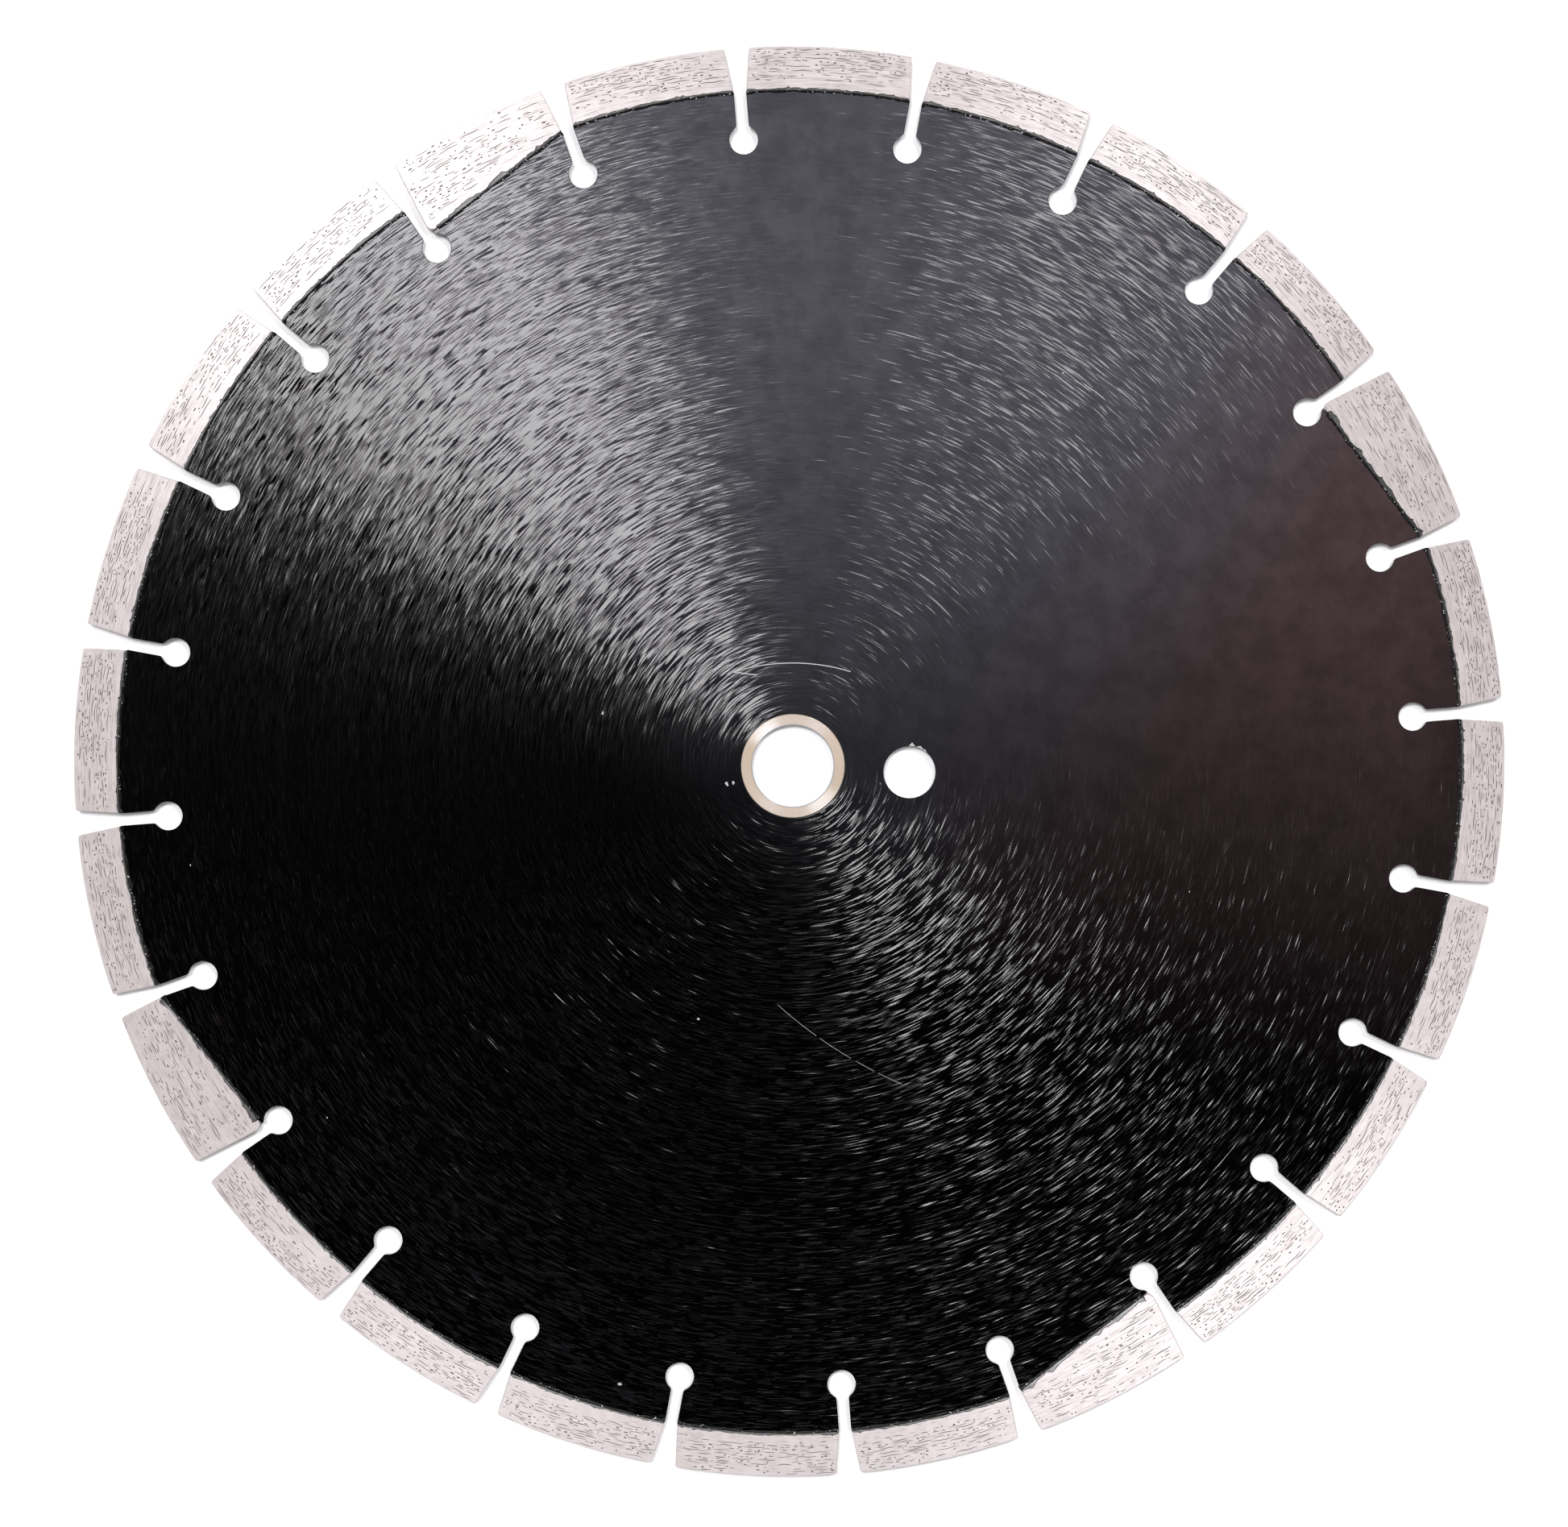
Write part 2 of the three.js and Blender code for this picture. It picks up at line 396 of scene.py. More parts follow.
def capped(solid, rims, loops, side):
    """Closes one face of a solid over existing rims. Each loop is (flat, height, values). Returns the
    triangles, as indices of the solid, and whether each one lies inside a loop."""
    everything = np.concatenate(solid.blocks)
    rim_places = [everything[rim, :2] for rim in rims]
    face_height = everything[rims[0][0], 2]
    places, origin, triangles, within = triangulated(rim_places, [loop[0] for loop in loops])
    indices = list(np.concatenate(rims))
    for flat, height, values in loops:
        indices.extend(solid.add(flat, height * side, **values))
    used = []
    for place, source in zip(places, origin):
        used.append(solid.add(place[None], face_height)[0] if source is None else indices[source])
    return [tuple(used[corner] for corner in triangle) for triangle in triangles], within


# ---------------------------------------------------------------- steel core

def stroke(points, width):
    """A narrow closed outline along a line, with blunt ends."""
    points = np.array(points)
    ahead = np.gradient(points, axis=0)
    ahead /= np.linalg.norm(ahead, axis=1, keepdims=True)
    left = np.column_stack((-ahead[:, 1], ahead[:, 0])) * width / 2
    return np.concatenate((points - left, (points + left)[::-1]))


def arrow():
    """The three strokes of the rotation arrow, which points the way the blade turns."""
    turns = np.radians(np.linspace(*ARROW_SPAN, ARROW_POINTS))
    shaft = np.array(ARROW_CENTRE) + ARROW_RADIUS * np.column_stack((np.cos(turns), np.sin(turns)))
    tip = shaft[-1]
    shares = np.linspace(0, 1, BARB_POINTS)[:, None]
    barbs = [tip + (np.array(end) - tip) * shares for end in ARROW_BARBS]
    return [stroke(line, ARROW_LINE) for line in (shaft, *barbs)]


def scratch():
    """A long fine scratch, broken where it skips."""
    start, middle, end = (np.array(point) for point in SCRATCH)
    strokes = []
    for first, last in SCRATCH_PARTS:
        share = np.linspace(first, last, SCRATCH_POINTS)[:, None]
        line = start * (1 - share) ** 2 + middle * 2 * share * (1 - share) + end * share ** 2
        strokes.append(stroke(line, SCRATCH_LINE))
    return strokes


def blob(rng, centre, along, across, count, wobble):
    """An uneven round outline. Its sizes are half lengths along the tangent and along the radius."""
    turns = np.arange(count) / count * 2 * math.pi
    reach = 1 + rng.uniform(-wobble, wobble, count)
    radius = math.hypot(*centre)
    angle = math.atan2(centre[1], centre[0]) + along * np.cos(turns) * reach / radius
    radii = radius - across * np.sin(turns) * reach
    return np.column_stack((radii * np.cos(angle), radii * np.sin(angle)))


def marks(rng):
    """Outlines of everything that is cut or knocked through the paint of the front face."""
    long, wide = CHIP_SHAPE
    chips = [blob(rng, (x, y), radius * long, radius * wide, CHIP_CORNERS, CHIP_WOBBLE)
             for x, y, radius in CHIPS]
    return [*arrow(), *scratch(), *chips]


def core_face(solid, rims, outlines, side):
    """One face of the core, with its marks sunk into the paint and shown in the second material."""
    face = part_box(CORE)[1].z / MM
    loops = [(outline, face, {}) for outline in outlines]
    triangles, within = capped(solid, rims, loops, side)
    solid.cover([triangle for triangle, inner in zip(triangles, within) if not inner], side)
    sunk = [triangle for triangle, inner in zip(triangles, within) if inner]
    if not sunk:
        return
    everything = np.concatenate(solid.blocks)
    upper = sorted({corner for triangle in sunk for corner in triangle})
    lower = dict(zip(upper, solid.add(everything[upper, :2], (face - MARK_DEPTH) * side)))
    solid.cover([tuple(lower[corner] for corner in triangle) for triangle in sunk], side, second=True)
    edges = {edge for triangle in sunk for edge in zip(triangle, triangle[1:] + triangle[:1])}
    rims_of_marks = sorted(edge for edge in edges if edge[::-1] not in edges)
    walls = [(start, end, lower[end], lower[start]) for start, end in rims_of_marks]
    solid.cover(walls, side, second=True)


def pin_flakes(solid, centre, radius, rng):
    """Small flakes of bare metal that stand on the edge of the pin hole."""
    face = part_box(CORE)[1].z / MM
    for angle, half, reach in PIN_FLAKES:
        spans = np.array(FLAKE_SPANS) * half
        heights = np.array(FLAKE_HEIGHTS) * reach
        heights *= rng.uniform(1 - FLAKE_WOBBLE, 1 + FLAKE_WOBBLE, len(heights))
        turns = math.radians(angle) - spans / radius
        outward = np.column_stack((np.cos(turns), np.sin(turns)))
        outline = centre + outward[::-1] * (radius + heights[::-1])[:, None]
        place = outline.mean(0)
        foot = solid.add(outline, face - MARK_DEPTH)
        brow = solid.add(place + (outline - place) * FLAKE_TOP, face + FLAKE_RISE)
        first = len(solid.faces)
        solid.band(foot, brow)
        solid.faces.append(tuple(brow))
        solid.faces.append(tuple(foot[::-1]))
        solid.second.extend(range(first, len(solid.faces)))


def steel_core():
    rng = np.random.default_rng(CORE_SEED)
    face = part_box(CORE)[1].z / MM
    outer, *holes = top_loops(CORE)
    loops = [divided(softened(outer), CORE_STEP)]
    for hole in holes:
        centre, radius = round_hole(hole)
        loops.append(circle(centre, radius, HOLE_FACETS)[::-1])
    solid = Solid()
    rims = {1: [], -1: []}
    for loop in loops:
        brow = loop + inward(loop) * EDGE_BREAK
        rings = [
            solid.add(brow, -face),
            solid.add(loop, -face + EDGE_BREAK),
            solid.add(loop, face - EDGE_BREAK),
            solid.add(brow, face),
        ]
        for lower, upper in zip(rings, rings[1:]):
            solid.band(lower, upper)
        rims[-1].append(rings[0])
        rims[1].append(rings[3])
    core_face(solid, rims[1], marks(rng), 1)
    core_face(solid, rims[-1], [], -1)
    # The pin hole is the smallest, so it comes last
    pin_flakes(solid, *round_hole(holes[-1]), rng)
    piece = solid.object("core", core_paint(), bare_steel())
    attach(piece, "blade")
    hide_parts(CORE)


# ---------------------------------------------------------------- segments

def strip_width(rng, count, ragged):
    """Width of the painted strip over a segment's base, at each point along the weld."""
    width = sum(wander(rng, count, *wave) for wave in STRIP_WAVES)
    width += rng.uniform(-STRIP_GRAIN, STRIP_GRAIN, count)
    spikes = rng.random(count) < SPIKE_SHARE
    width += spikes * rng.uniform(*SPIKE_WIDTHS, count)
    if ragged:
        width += np.clip(wander(rng, count, *RAGGED_WAVE), 0, None)
    return np.clip(width, *STRIP_LIMITS)


def crowding(angle, radius, clusters):
    """How crowded each place is: about 1 on a cluster and 0 far from all of them."""
    crowd = np.zeros(len(angle))
    for cluster_angle, cluster_radius in clusters:
        along = (angle - cluster_angle) * radius / CLUSTER_REACH[0]
        across = (radius - cluster_radius) / CLUSTER_REACH[1]
        crowd += np.exp(-np.hypot(along, across) ** 2)
    return crowd


def fits(rng, angle, radius, along, rim, weld_line):
    """Whether each spot stays inside the rim and above the base layer with both ends and its middle."""
    fit = np.ones(len(angle), bool)
    for turn in (-1, 0, 1):
        at = angle + turn * along / radius
        points = np.column_stack((radius * np.cos(at), radius * np.sin(at)))
        fit &= inside(points, rim) & (gap_to(points, rim) > SPOT_MARGIN)
        base = BASE_LAYER + rng.normal(0, BASE_WAVER, len(angle))
        fit &= gap_to(points, weld_line, closed=False) > base
    return fit


def spots(rng, rim, weld_line, share):
    """Places for grooves, pits and crystals on a segment's face, clear of its edges and each other.
    Each one is (angle, radius, half length, half width, rise, kind)."""
    radii = np.linalg.norm(rim, axis=1)
    angles = np.unwrap(np.arctan2(rim[:, 1], rim[:, 0]))
    low, high = radii.min(), radii.max()
    clusters = np.column_stack((
        rng.uniform(angles.min(), angles.max(), CLUSTERS_PER_FACE),
        rng.uniform(low + BASE_LAYER, high - CLUSTER_MARGIN, CLUSTERS_PER_FACE),
    ))
    taken = np.empty((0, 4))
    chosen = []
    for kind, most, tries_for_each, lengths, widths, rises in SPOTS:
        wanted = int(most * share)
        tries = wanted * tries_for_each
        angle = rng.uniform(angles.min(), angles.max(), tries)
        radius = rng.uniform(low, high, tries)
        along = rng.uniform(0, 1, tries) ** SHORT_SPOTS * (lengths[1] - lengths[0]) + lengths[0]
        across = rng.uniform(*widths, tries)
        rise = rng.uniform(*rises, tries)
        chance = np.clip(LONE_SPOTS + crowding(angle, radius, clusters), 0, 1)
        allowed = rng.uniform(0, 1, tries) < chance
        allowed &= fits(rng, angle, radius, along, rim, weld_line)
        room = across + (GROOVE_SWAY if kind == "groove" else 0.0)
        kept = 0
        for index in np.flatnonzero(allowed):
            if kept == wanted:
                break
            length = taken[:, 2] + along[index] + SPOT_GAP[0]
            near = np.abs(taken[:, 0] - angle[index]) * radius[index] < length
            near &= np.abs(taken[:, 1] - radius[index]) < taken[:, 3] + room[index] + SPOT_GAP[1]
            if near.any():
                continue
            taken = np.vstack((taken, (angle[index], radius[index], along[index], room[index])))
            chosen.append((angle[index], radius[index], along[index], across[index], rise[index], kind))
            kept += 1
    return chosen


def groove(rng, angle, radius, along, across):
    """Outer and inner outline of a grinding line that sways a little on its way round."""
    turns = np.arange(GROOVE_CORNERS) / GROOVE_CORNERS * 2 * math.pi
    phase = rng.uniform(0, 2 * math.pi)
    rings = []
    for scale_along, scale_across in ((1.0, 1.0), GROOVE_FLOOR):
        ahead = np.cos(turns) * scale_along
        wobble = rng.uniform(1 - GROOVE_WOBBLE, 1 + GROOVE_WOBBLE, GROOVE_CORNERS)
        aside = np.sin(turns) * across * scale_across * wobble
        radii = radius - aside + GROOVE_SWAY * np.sin(GROOVE_WAVES * ahead * along + phase)
        angles = angle + ahead * along / radius
        rings.append(np.column_stack((radii * np.cos(angles), radii * np.sin(angles))))
    return rings


def spot_rings(rng, spot, face):
    """The two rings of a pit, groove or crystal, as loops for a cap."""
    angle, radius, along, across, rise, kind = spot
    centre = (radius * math.cos(angle), radius * math.sin(angle))
    if kind == "groove":
        outer, inner = groove(rng, angle, radius, along, across)
    else:
        outer = blob(rng, centre, along, across, SPOT_CORNERS, SPOT_WOBBLE)
        inner = np.array(centre) + (outer[::2] - centre) * SPOT_FLOOR
    # The pit value carries the pits' dark colour: partly dirt, partly painted shade of the hollows
    name = "crystal" if kind == "crystal" else "pit"
    strength = GROOVE_LOOK if kind == "groove" else 1.0
    return [(outer, face, {name: SPOT_RIM}), (inner, face + rise, {name: strength})]


def segment_rings(solid, outline, weld, strip, side, face):
    """The three rings that shape one edge of a segment, from the side wall up to the face. The weld
    is 1 where the segment stands on the core and 0 elsewhere."""
    core_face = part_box(CORE)[1].z / MM
    into = inward(outline)
    edge = SEGMENT_EDGE * (1 - weld)
    wall_height = (face - SEGMENT_EDGE) * (1 - weld) + (core_face + FOOT_HEIGHT) * weld
    slope_inset = edge * EDGE_SHOULDER + np.clip(strip - FOOT_SLOPE, FOOT_INSET, None) * weld
    slope_height = (face - SEGMENT_EDGE * EDGE_SHOULDER) * (1 - weld) + (core_face + FOOT_SLOPE) * weld
    brow_inset = edge + strip * weld
    wall = solid.add(outline, wall_height * side, painted=weld)
    slope = solid.add(outline + into * slope_inset[:, None], slope_height * side, painted=weld)
    brow = solid.add(outline + into * brow_inset[:, None], face * side)
    return wall, slope, brow


def segment_face(solid, rng, brow, weld_line, face, side):
    """Closes one face of a segment, with its grooves, pits and crystals."""
    rim = np.concatenate(solid.blocks)[brow, :2]
    loops = []
    for spot in spots(rng, rim, weld_line, 1 if side == 1 else BACK_SHARE):
        loops.extend(spot_rings(rng, spot, face))
    triangles, _ = capped(solid, [brow], loops, side)
    solid.cover(triangles, side)


def segment(node, core_outline, metal):
    """One segment. Returns the line along which it is welded to the core."""
    rng = np.random.default_rng(SEGMENT_SEED + int(node[-2:]))
    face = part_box(node)[1].z / MM - CRYSTAL_RISE
    outline = divided(softened(top_loops(node)[0]), OUTLINE_STEP)
    count = len(outline)
    run = longest_run(gap_to(outline, core_outline) < WELD_REACH)
    weld = np.zeros(count)
    weld[run] = 1
    solid = Solid("pit", "crystal", "painted")
    walls = {}
    brows = {}
    for side in (1, -1):
        strip = np.full(count, SEGMENT_EDGE)
        strip[run] = strip_width(rng, len(run), ragged="undercut" in node)
        wall, slope, brow = segment_rings(solid, outline, weld, strip, side, face)
        for lower, upper in ((wall, slope), (slope, brow)):
            solid.band(*((lower, upper) if side == 1 else (upper, lower)))
        walls[side] = wall
        brows[side] = brow
    solid.band(walls[-1], walls[1])
    weld_line = outline[run]
    for side in (1, -1):
        segment_face(solid, rng, brows[side], weld_line, face, side)
    piece = solid.object("ground_" + node, metal)
    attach(piece, "blade")
    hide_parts(node)
    return weld_line


def weld_seams(weld_lines):
    """The uneven beads of weld, painted over, along both faces of every joint."""
    rng = np.random.default_rng(SEAM_SEED)
    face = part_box(CORE)[1].z / MM
    solid = Solid()
    for line in weld_lines:
        for side in (1, -1):
            bead(solid, line, rng, face, side)
    piece = solid.object("weld_seams", seam_paint())
    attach(piece, "blade")


def bead(solid, line, rng, face, side):
    """One bead along a joint, with a lump at each end."""
    count = len(line)
    ahead = np.gradient(line, axis=0)
    ahead /= np.linalg.norm(ahead, axis=1, keepdims=True)
    toward_core = np.column_stack((ahead[:, 1], -ahead[:, 0]))
    width = BEAD_WIDTH * wander(rng, count, *WIDTH_WAVE) * rng.uniform(*BEAD_GRAIN, count)
    height = BEAD_HEIGHT * wander(rng, count, *HEIGHT_WAVE)
    from_end = np.minimum(np.arange(count), np.arange(count)[::-1])
    lump = np.exp(-(from_end / BEAD_END) ** 2)
    width *= 1 + END_WIDENING * lump
    height *= 1 + END_RISE * lump
    rows = []
    for across, rise in BEAD_PROFILE:
        places = line + toward_core * (across * width)[:, None]
        sunk = 0.0 if rise > 0 else BEAD_SUNK
        rows.append(solid.add(places, (face - sunk + rise * height) * side))
    rings = np.array(rows).T
    for here, there in zip(rings, rings[1:]):
        for index in range(len(here)):
            after = (index + 1) % len(here)
            quad = (here[index], there[index], there[after], here[after])
            solid.faces.append(quad[::-side])
    solid.faces.append(tuple(rings[0])[::side])
    solid.faces.append(tuple(rings[-1])[::-side])


# ---------------------------------------------------------------- reducing bush

def bush_bore():
    """Radius of the hole through the bush."""
    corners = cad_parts[BUSH].data.vertices
    return min(math.hypot(corner.co.x, corner.co.y) for corner in corners) / MM


def bush_profile(bore):
    """Radius and height of the ring's front half, from its bore out."""
    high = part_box(BUSH)[1]
    outer = high.x / MM
    face = high.z / MM
    across, down = INNER_BEVEL
    profile = [(bore, face - BUSH_CHAMFER), (bore + BUSH_CHAMFER * across, face - BUSH_CHAMFER * down)]
    first = bore + BUSH_CHAMFER
    last = outer - BUSH_CHAMFER
    for number in range(2 * TURNED_RINGS + 1):
        radius = first + (last - first) * number / (2 * TURNED_RINGS)
        profile.append((radius, face - TURNED_DEPTH * (number % 2)))
    across, down = OUTER_BEVEL
    profile.append((outer - BUSH_CHAMFER * across, face - BUSH_CHAMFER * down))
    profile.append((outer, face - BUSH_CHAMFER))
    return profile


def reducing_bush():
    """The ring, turned on a lathe with the same profile on both faces."""
    bore = bush_bore()
    profile = bush_profile(bore)
    solid = Solid()
    stations = profile + [(radius, -height) for radius, height in profile[::-1]]
    rings = [solid.add(circle((0, 0), radius, BUSH_FACETS), height) for radius, height in stations]
    for inner, outer in zip(rings, rings[1:] + rings[:1]):
        solid.band(outer, inner)
    piece = solid.object("turned_bush", yellow_zinc(bore))
    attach(piece, "bush")
    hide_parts(BUSH)


# ---------------------------------------------------------------- materials

NOISE_RANGE = (0.3, 0.7)


class Graph:
    """Short forms for wiring the nodes of a material or a sky."""

    def __init__(self, tree):
        self.tree = tree

    def node(self, kind, inputs=(), **settings):
        made = self.tree.nodes.new(kind)
        for name, value in settings.items():
            setattr(made, name, value)
        for socket, value in dict(inputs).items():
            self.feed(made.inputs[socket], value)
        return made

    def feed(self, socket, value):
        if isinstance(value, bpy.types.NodeSocket):
            self.tree.links.new(value, socket)
        else:
            socket.default_value = value

    def math(self, operation, *values):
        return self.node("ShaderNodeMath", enumerate(values), operation=operation).outputs[0]

    def vector(self, operation, *values):
        made = self.node("ShaderNodeVectorMath", operation=operation)
        for socket, value in zip(made.inputs, values):
            self.feed(socket, value)
        return made.outputs["Value" if operation == "LENGTH" else "Vector"]

    def scaled(self, vector, scale):
        made = self.node("ShaderNodeVectorMath", operation="SCALE")
        self.feed(made.inputs[0], vector)
        self.feed(made.inputs["Scale"], scale)
        return made.outputs["Vector"]

    def combined(self, x, y, z):
        return self.node("ShaderNodeCombineXYZ", {"X": x, "Y": y, "Z": z}).outputs[0]

    def step(self, value, low, high, first=0.0, last=1.0):
        """A smooth step from the first to the last number as the value passes from low to high."""
        inputs = {"Value": value, "From Min": low, "From Max": high, "To Min": first, "To Max": last}
        return self.node("ShaderNodeMapRange", inputs, interpolation_type="SMOOTHSTEP").outputs[0]

    def varied(self, noise, first, last):
        """A number that follows a noise, over the range in which most of the noise lies."""
        return self.step(noise, *NOISE_RANGE, first, last)

    def noise(self, vector, scale=1.0, detail=0.0, roughness=0.5):
        inputs = {"Vector": vector, "Scale": scale, "Detail": detail, "Roughness": roughness}
        return self.node("ShaderNodeTexNoise", inputs).outputs["Fac"]

    def mix(self, factor, first, second):
        inputs = {0: factor, 6: first, 7: second}
        return self.node("ShaderNodeMix", inputs, data_type="RGBA").outputs[2]

    def blend(self, factor, first, second):
        inputs = {0: factor, 2: first, 3: second}
        return self.node("ShaderNodeMix", inputs, data_type="FLOAT").outputs[0]

    def attribute(self, name):
        return self.node("ShaderNodeAttribute", attribute_name=name).outputs["Fac"]

    def to_world(self, vector):
        made = self.node("ShaderNodeVectorTransform", vector_type="VECTOR", convert_from="OBJECT",
                         convert_to="WORLD")
        self.feed(made.inputs[0], vector)
        return made.outputs[0]


class Surface(Graph):
    """A material with one Principled shader, whose inputs are set by name."""

    def __init__(self, name):
        self.material = bpy.data.materials.new(name)
        self.material.use_nodes = True
        super().__init__(self.material.node_tree)
        self.shader = self.tree.nodes["Principled BSDF"]

    def set(self, **inputs):
        for name, value in inputs.items():
            self.feed(self.shader.inputs[name.replace("_", " ")], value)


class Turned(Surface):
    """A material whose detail runs in circles round the spin axis. Lengths are in millimetres."""

    def __init__(self, name):
        super().__init__(name)
        place = self.node("ShaderNodeTexCoord").outputs["Object"]
        self.place = self.scaled(place, 1 / MM)
        parts = self.node("ShaderNodeSeparateXYZ", {"Vector": self.place}).outputs
        self.x, self.y = parts["X"], parts["Y"]
        flat = self.combined(self.x, self.y, 0.0)
        self.radius = self.vector("LENGTH", flat)
        self.outward = self.to_world(self.vector("NORMALIZE", flat))
        self.around = self.vector("CROSS_PRODUCT", (0.0, 0.0, 1.0), self.outward)
        self.normal = self.node("ShaderNodeNewGeometry").outputs["Normal"]
        up = self.node("ShaderNodeSeparateXYZ", {"Vector": self.normal}).outputs["Z"]
        self.flatness = self.math("ABSOLUTE", up)

    def strokes(self, length, width, offset=0.0, detail=0.0, radius=None):
        """Noise drawn out into strokes along the circles. The offset picks another pattern."""
        along_x = self.math("MULTIPLY_ADD", self.x, 1 / length, offset)
        along_y = self.math("MULTIPLY", self.y, 1 / length)
        across = self.math("MULTIPLY", radius or self.radius, 1 / width)
        return self.noise(self.combined(along_x, along_y, across), 1.0, detail)

    def leaned(self, tilt, sideways=0.0):
        """The surface normal, leaned outward and along the circles where the surface is flat."""
        lean = self.vector("ADD", self.scaled(self.outward, tilt), self.scaled(self.around, sideways))
        lean = self.scaled(lean, self.flatness)
        return self.vector("NORMALIZE", self.vector("ADD", self.normal, lean))

    def spread(self, noise, amount):
        """A lean from a noise, whose middle value leans nowhere."""
        return self.math("MULTIPLY_ADD", noise, amount, -amount / 2)


def grey(value, red=1.0, green=1.0, blue=1.0):
    return (value * red, value * green, value * blue, 1.0)


WARM_BLACK = grey(0.0001, 1.0, 0.95, 0.9)
COLD_BLACK = grey(0.0004, 0.95, 0.95, 1.1)
GLINT = grey(0.4)
STEEL_DARK = grey(0.17)
STEEL_PALE = grey(0.42, 1.0, 0.97, 0.95)
MATRIX_DARK = grey(0.2, 1.14, 0.98, 0.95)
MATRIX_PALE = grey(0.44, 1.1, 0.98, 0.96)
MATRIX_PATCH = grey(0.45, 1.07, 0.98, 0.97)
SCUFF = grey(0.12, 1.2, 1.0, 0.98)
GRAIN = grey(0.18, 1.15, 1.0, 0.95)
CRYSTAL = grey(0.5, 1.0, 0.97, 0.85)
# Colour of the pits: partly dirt in them, partly painted shade of the hollows
PIT_DIRT_AND_SHADE = grey(0.045, 1.2, 1.0, 0.95)
FOOT_PAINT = grey(0.003)
ZINC_DARK = grey(0.335, 1.24, 1.0, 0.73)
ZINC_PALE = grey(0.375, 1.24, 1.0, 0.77)
ZINC_WORN = grey(0.26, 1.0, 0.95, 0.95)
# Painted shade: the colour of the bore's edge and chamfer, drawn dark where shade falls
BORE_EDGE_SHADE = grey(0.1)
FLOOR_TONES = (grey(0.79), grey(0.81))

# Length and width of strokes along the circles, in millimetres
LONG_STROKES = (6.0, 0.31)
SHORT_STROKES = (4.5, 0.22)
ASLANT_STROKES = (6.0, 0.3)
STROKE_PATCHES = (9.0, 0.7)
GRINDING_LINES = (9.0, 0.26)
SCUFF_MARKS = (3.2, 0.3)
LATHE_RINGS = (30.0, 0.07)
RING_DRIFT = 0.4           # how far the core's circles stray, in millimetres
# Where a segment's look starts and is complete, over its attributes
PIT_EDGE = (0.52, 0.72)
CRYSTAL_EDGE = (0.52, 0.7)
PAINT_EDGE = (0.25, 0.4)
# How the brushing leans the core's paint, as a slope and an offset over the noise of its strokes. The
# strokes above the split lean outward. The few below it lean inward, the deep ones more steeply.
# Between two radii they grow fewer, because the noise is moved from the third number to the fourth.
OUTWARD_LEAN = (0.4, -0.09)
INWARD_LEAN = (0.25, -0.257)
DEEP_STROKE = 0.3
DEEP_LEAN = 0.4
LEAN_SPLIT = (0.395, 0.46)
THINNING = (40.0, 120.0, -0.012, 0.03)
RING_LEAN = 0.05
ASLANT = 0.8
# Leans of the sintered metal and the zinc
GRINDING_LEAN = 0.9
TURNING_LEAN = 0.12


def black(graph):
    """The colour of the black paint."""
    tone = graph.noise(graph.place, scale=0.03, detail=2.0)
    return graph.mix(tone, WARM_BLACK, COLD_BLACK)


def brushing(graph, radius):
    """How far the strokes of the brushing lean the paint outward."""
    long = graph.strokes(*LONG_STROKES, radius=radius)
    short = graph.strokes(*SHORT_STROKES, offset=40.0, radius=radius)
    patches = graph.strokes(*STROKE_PATCHES, offset=100.0, radius=radius)
    brush = graph.blend(graph.step(patches, 0.4, 0.6), long, short)
    inward_lean = graph.math("MULTIPLY_ADD", brush, *INWARD_LEAN)
    deep = graph.math("MINIMUM", graph.math("SUBTRACT", brush, DEEP_STROKE), 0.0)
    inward_lean = graph.math("MULTIPLY_ADD", deep, DEEP_LEAN, inward_lean)
    outward_lean = graph.math("MULTIPLY_ADD", brush, *OUTWARD_LEAN)
    thinned = graph.math("ADD", brush, graph.step(graph.radius, *THINNING))
    return graph.blend(graph.step(thinned, *LEAN_SPLIT), inward_lean, outward_lean)


def core_paint():
    """Semi-gloss black paint, through which a fine circular brushing shows."""
    graph = Turned("black_paint")
    drift = graph.noise(graph.place, scale=0.09, detail=1.0)
    radius = graph.math("MULTIPLY_ADD", drift, RING_DRIFT, graph.radius)
    rings = graph.noise(graph.combined(0.0, 0.0, radius), scale=0.3, detail=3.0)
    tilt = graph.math("ADD", brushing(graph, radius), graph.spread(rings, RING_LEAN))
    aslant = graph.spread(graph.strokes(*ASLANT_STROKES, offset=70.0, radius=radius), ASLANT)
    mottle = graph.noise(graph.place, scale=0.12, detail=4.0, roughness=0.7)
    graph.set(
        Base_Color=black(graph),
        Normal=graph.leaned(tilt, graph.math("MULTIPLY", tilt, aslant)),
        Roughness=graph.varied(rings, 0.145, 0.125),
        Specular_IOR_Level=0.15,
        Coat_Weight=graph.varied(mottle, 0.7, 1.0),
        Coat_IOR=1.5,
        Coat_Roughness=0.05,
    )
    return graph.material


def seam_paint():
    """The same paint over the rough weld beads, with a few glints."""
    graph = Turned("seam_paint")
    speckle = graph.noise(graph.place, scale=2.2, detail=2.0)
    glint = graph.step(speckle, 0.66, 0.7)
    bump = graph.node("ShaderNodeBump", {"Height": speckle, "Strength": 0.6, "Distance": 0.1 * MM})
    graph.set(
        Base_Color=graph.mix(glint, black(graph), GLINT),
        Normal=bump.outputs[0],
        Roughness=graph.varied(speckle, 0.35, 0.5),
        Specular_IOR_Level=0.12,
    )
    return graph.material


def bare_steel():
    """Steel laid bare by the marking laser, a scratch or a chip."""
    graph = Turned("bare_steel")
    grain = graph.noise(graph.place, scale=6.0, detail=2.0)
    graph.set(
        Base_Color=graph.mix(grain, STEEL_DARK, STEEL_PALE),
        Metallic=0.3,
        Roughness=graph.varied(grain, 0.4, 0.6),
    )
    return graph.material


